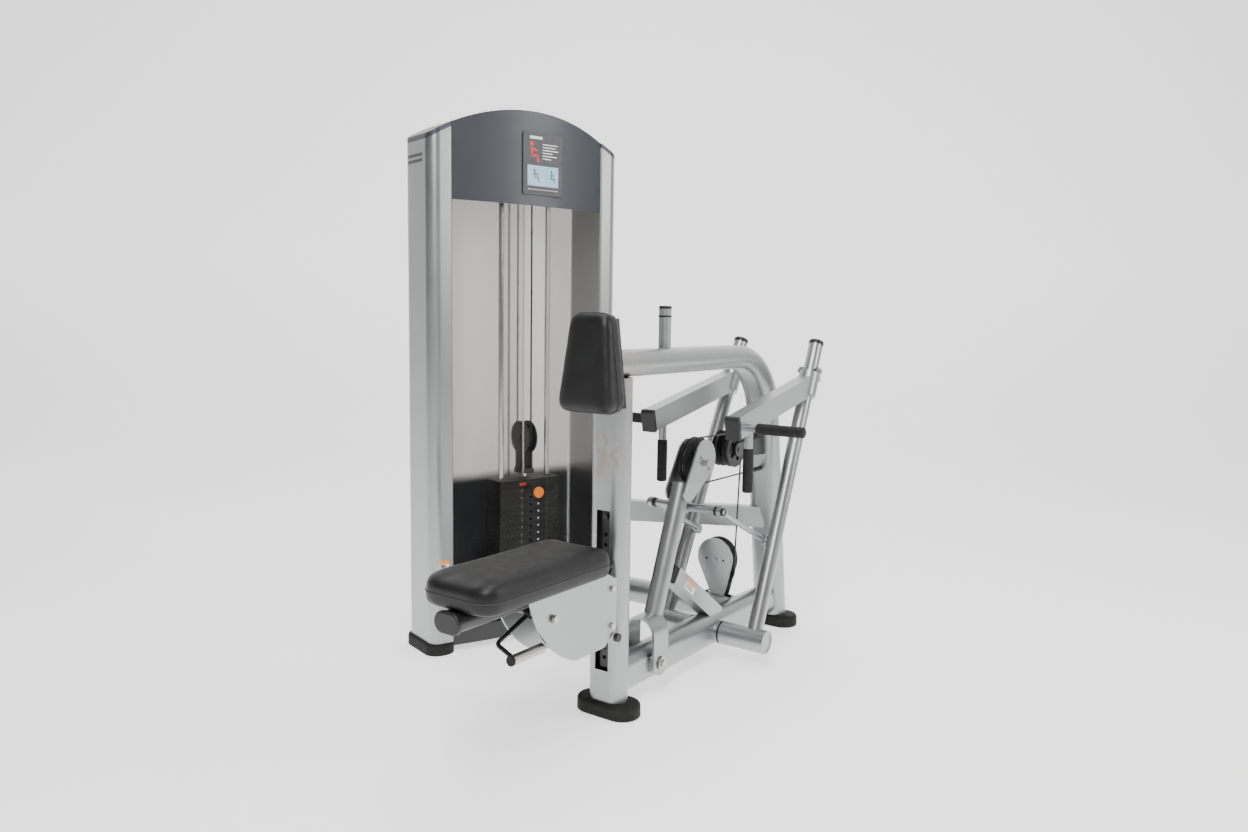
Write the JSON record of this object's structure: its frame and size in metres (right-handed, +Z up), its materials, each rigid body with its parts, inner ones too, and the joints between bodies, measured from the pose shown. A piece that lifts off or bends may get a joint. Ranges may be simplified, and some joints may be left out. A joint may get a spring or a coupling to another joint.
{
  "type": "seated row machine",
  "caption": "Seated row machine with chest pad, rowing arms, central lever, cable drive and a shrouded selectorised weight stack.",
  "frame": {"origin": "on the floor, in the middle of the underside of the front foot", "axes": "+X the way the seated user faces, +Y towards the weight tower, +Z up"},
  "size_m": [1.74, 1.2819, 1.827],
  "materials": {
    "frame_paint": "satin metallic",
    "grey_paint": "satin",
    "frosted_sheet": "satin",
    "panel_paint": "satin",
    "black_steel": "satin",
    "black_plastic": "matte",
    "black_rubber": "matte",
    "black_vinyl": "satin",
    "iron": "satin",
    "chrome": "polished",
    "steel": "brushed",
    "orange": "gloss",
    "placard": "gloss",
    "cable_jacket": "gloss"
  },
  "bodies": {
    "frame": {"base_beam": "frame_paint", "chest_pad": "black_vinyl", "chest_pad_mount": "black_steel", "column_caps": "grey_paint", "frame_feet": "black_rubber", "front_post": "frame_paint", "guide_rods": "chrome", "header_cover": "grey_paint", "header_placard": "placard", "hub_seals": "black_rubber", "hub_shafts": "steel", "lift_cable": "cable_jacket", "lower_pulley_plates": "frame_paint", "rubber_stops": "black_rubber", "seat_rack": "black_steel", "shroud_panels": "frosted_sheet", "stop_tube": "frame_paint", "top_frame_tube": "frame_paint", "tower_braces": "frame_paint", "tower_columns": "frame_paint", "tower_feet": "black_rubber", "tower_frame": "black_steel", "tower_panels": "panel_paint", "tube_caps": "black_plastic", "upper_pulley_bracket": "black_steel", "weight_plates": "iron"},
    "lever": {"lever_frame": "frame_paint", "lever_pulley_plates": "frame_paint", "crossbar_ends": "black_plastic"},
    "lever_wheel": {"lever_pulley": "black_plastic"},
    "upper_wheels": {"upper_pulleys": "black_plastic"},
    "lower_wheel": {"lower_pulley": "black_plastic"},
    "top_wheel": {"top_pulley": "black_plastic"},
    "base_wheel": {"base_pulley": "black_plastic"},
    "corner_wheel": {"corner_pulley": "black_plastic"},
    "stack_wheel": {"stack_pulley": "black_plastic"},
    "link_left": {"link_rod_left": "frame_paint"},
    "link_right": {"link_rod_right": "frame_paint"},
    "arm_left": {"arm_tube_left": "frame_paint", "forearm_left": "frame_paint", "arm_caps_left": "black_plastic", "arm_bushes_left": "black_plastic", "grips_left": "black_rubber"},
    "arm_right": {"arm_tube_right": "frame_paint", "forearm_right": "frame_paint", "arm_caps_right": "black_plastic", "arm_bushes_right": "black_plastic", "grips_right": "black_rubber"},
    "stack": {"lifted_plates": "iron", "selector_stem": "chrome", "stack_pulley_yoke": "black_steel"},
    "pin": {"selector_pin": "chrome", "selector_knob": "orange"},
    "seat": {"seat_cushion": "black_vinyl", "seat_tube": "black_steel", "seat_tube_cap": "black_plastic", "seat_carriage": "frame_paint", "seat_fasteners": "steel"},
    "release": {"release_handle": "black_steel", "release_grip": "steel"}
  },
  "joints": [
    {"name": "stack_slide", "type": "slide", "parent": "frame", "child": "stack", "axis": [0, 0, 1], "range_m": [0, 0.22], "deforming": ["lift_cable"]},
    {"name": "lever_hinge", "type": "hinge", "parent": "frame", "child": "lever", "pos_m": [0.19, 0, 0.102], "axis": [0, -1, 0], "range_deg": [0, 21]},
    {"name": "arm_left_hinge", "type": "hinge", "parent": "frame", "child": "arm_left", "pos_m": [0.565, 0.141, 0.096], "axis": [0, -1, 0], "range_deg": [0, 32]},
    {"name": "link_left_hinge", "type": "hinge", "parent": "lever", "child": "link_left", "pos_m": [0.404, 0.128, 0.543], "axis": [0, -1, 0], "range_deg": [-25, 0]},
    {"name": "arm_right_hinge", "type": "hinge", "parent": "frame", "child": "arm_right", "pos_m": [0.565, -0.141, 0.096], "axis": [0, -1, 0], "range_deg": [0, 32]},
    {"name": "link_right_hinge", "type": "hinge", "parent": "lever", "child": "link_right", "pos_m": [0.404, -0.128, 0.543], "axis": [0, -1, 0], "range_deg": [-25, 0]},
    {"name": "lever_pulley_spin", "type": "hinge", "parent": "lever", "child": "lever_wheel", "pos_m": [0.458, 0, 0.681], "axis": [0, -1, 0], "range_deg": [0, 144]},
    {"name": "upper_pulley_spin", "type": "hinge", "parent": "frame", "child": "upper_wheels", "pos_m": [0.712, 0, 0.696], "axis": [0, -1, 0], "range_deg": [0, 444]},
    {"name": "lower_pulley_spin", "type": "hinge", "parent": "frame", "child": "lower_wheel", "pos_m": [0.768, 0.084, 0.286], "axis": [-1, 0, 0], "range_deg": [0, 361]},
    {"name": "top_pulley_spin", "type": "hinge", "parent": "frame", "child": "top_wheel", "pos_m": [0.40251, 0.73944, 1.61], "axis": [-0.9588, 0.284, 0], "range_deg": [0, 843]},
    {"name": "base_pulley_spin", "type": "hinge", "parent": "frame", "child": "base_wheel", "pos_m": [0.44459, 0.75827, 0.151], "axis": [-0.284, -0.9588, 0], "range_deg": [0, 722]},
    {"name": "corner_pulley_spin", "type": "hinge", "parent": "frame", "child": "corner_wheel", "pos_m": [0.68785, 0.65701, 0.116], "axis": [0, 0, -1], "range_deg": [0, 903]},
    {"name": "stack_pulley_spin", "type": "hinge", "parent": "stack", "child": "stack_wheel", "pos_m": [0.38121, 0.66753, 0.712], "axis": [0.9588, -0.284, 0], "range_deg": [0, 281]},
    {"name": "selector_pin_slide", "type": "slide", "parent": "stack", "child": "pin", "axis": [-0.284, -0.9588, 0], "range_m": [0, 0.1]},
    {"name": "seat_height_slide", "type": "slide", "parent": "frame", "child": "seat", "axis": [0, 0, 1], "range_m": [-0.06, 0.12]},
    {"name": "release_handle_hinge", "type": "hinge", "parent": "seat", "child": "release", "pos_m": [-0.33, 0, 0.375], "axis": [0, 1, 0], "range_deg": [0, 12], "stiffness_Nm_per_rad": 3, "springref_deg": -17.19}
  ],
  "couplings": [
    {"joint": "lever_hinge", "follows": "stack_slide", "rad_per_m": 1.6012},
    {"joint": "arm_left_hinge", "follows": "stack_slide", "rad_per_m": 2.4623},
    {"joint": "arm_right_hinge", "follows": "stack_slide", "rad_per_m": 2.4623},
    {"joint": "link_left_hinge", "follows": "stack_slide", "rad_per_m": -1.9216},
    {"joint": "link_right_hinge", "follows": "stack_slide", "rad_per_m": -1.9216},
    {"joint": "lever_pulley_spin", "follows": "stack_slide", "rad_per_m": 11.386},
    {"joint": "upper_pulley_spin", "follows": "stack_slide", "rad_per_m": 35.088},
    {"joint": "lower_pulley_spin", "follows": "stack_slide", "rad_per_m": 28.571},
    {"joint": "top_pulley_spin", "follows": "stack_slide", "rad_per_m": 66.667},
    {"joint": "base_pulley_spin", "follows": "stack_slide", "rad_per_m": 57.143},
    {"joint": "corner_pulley_spin", "follows": "stack_slide", "rad_per_m": 71.429},
    {"joint": "stack_pulley_spin", "follows": "stack_slide", "rad_per_m": 22.222}
  ]
}
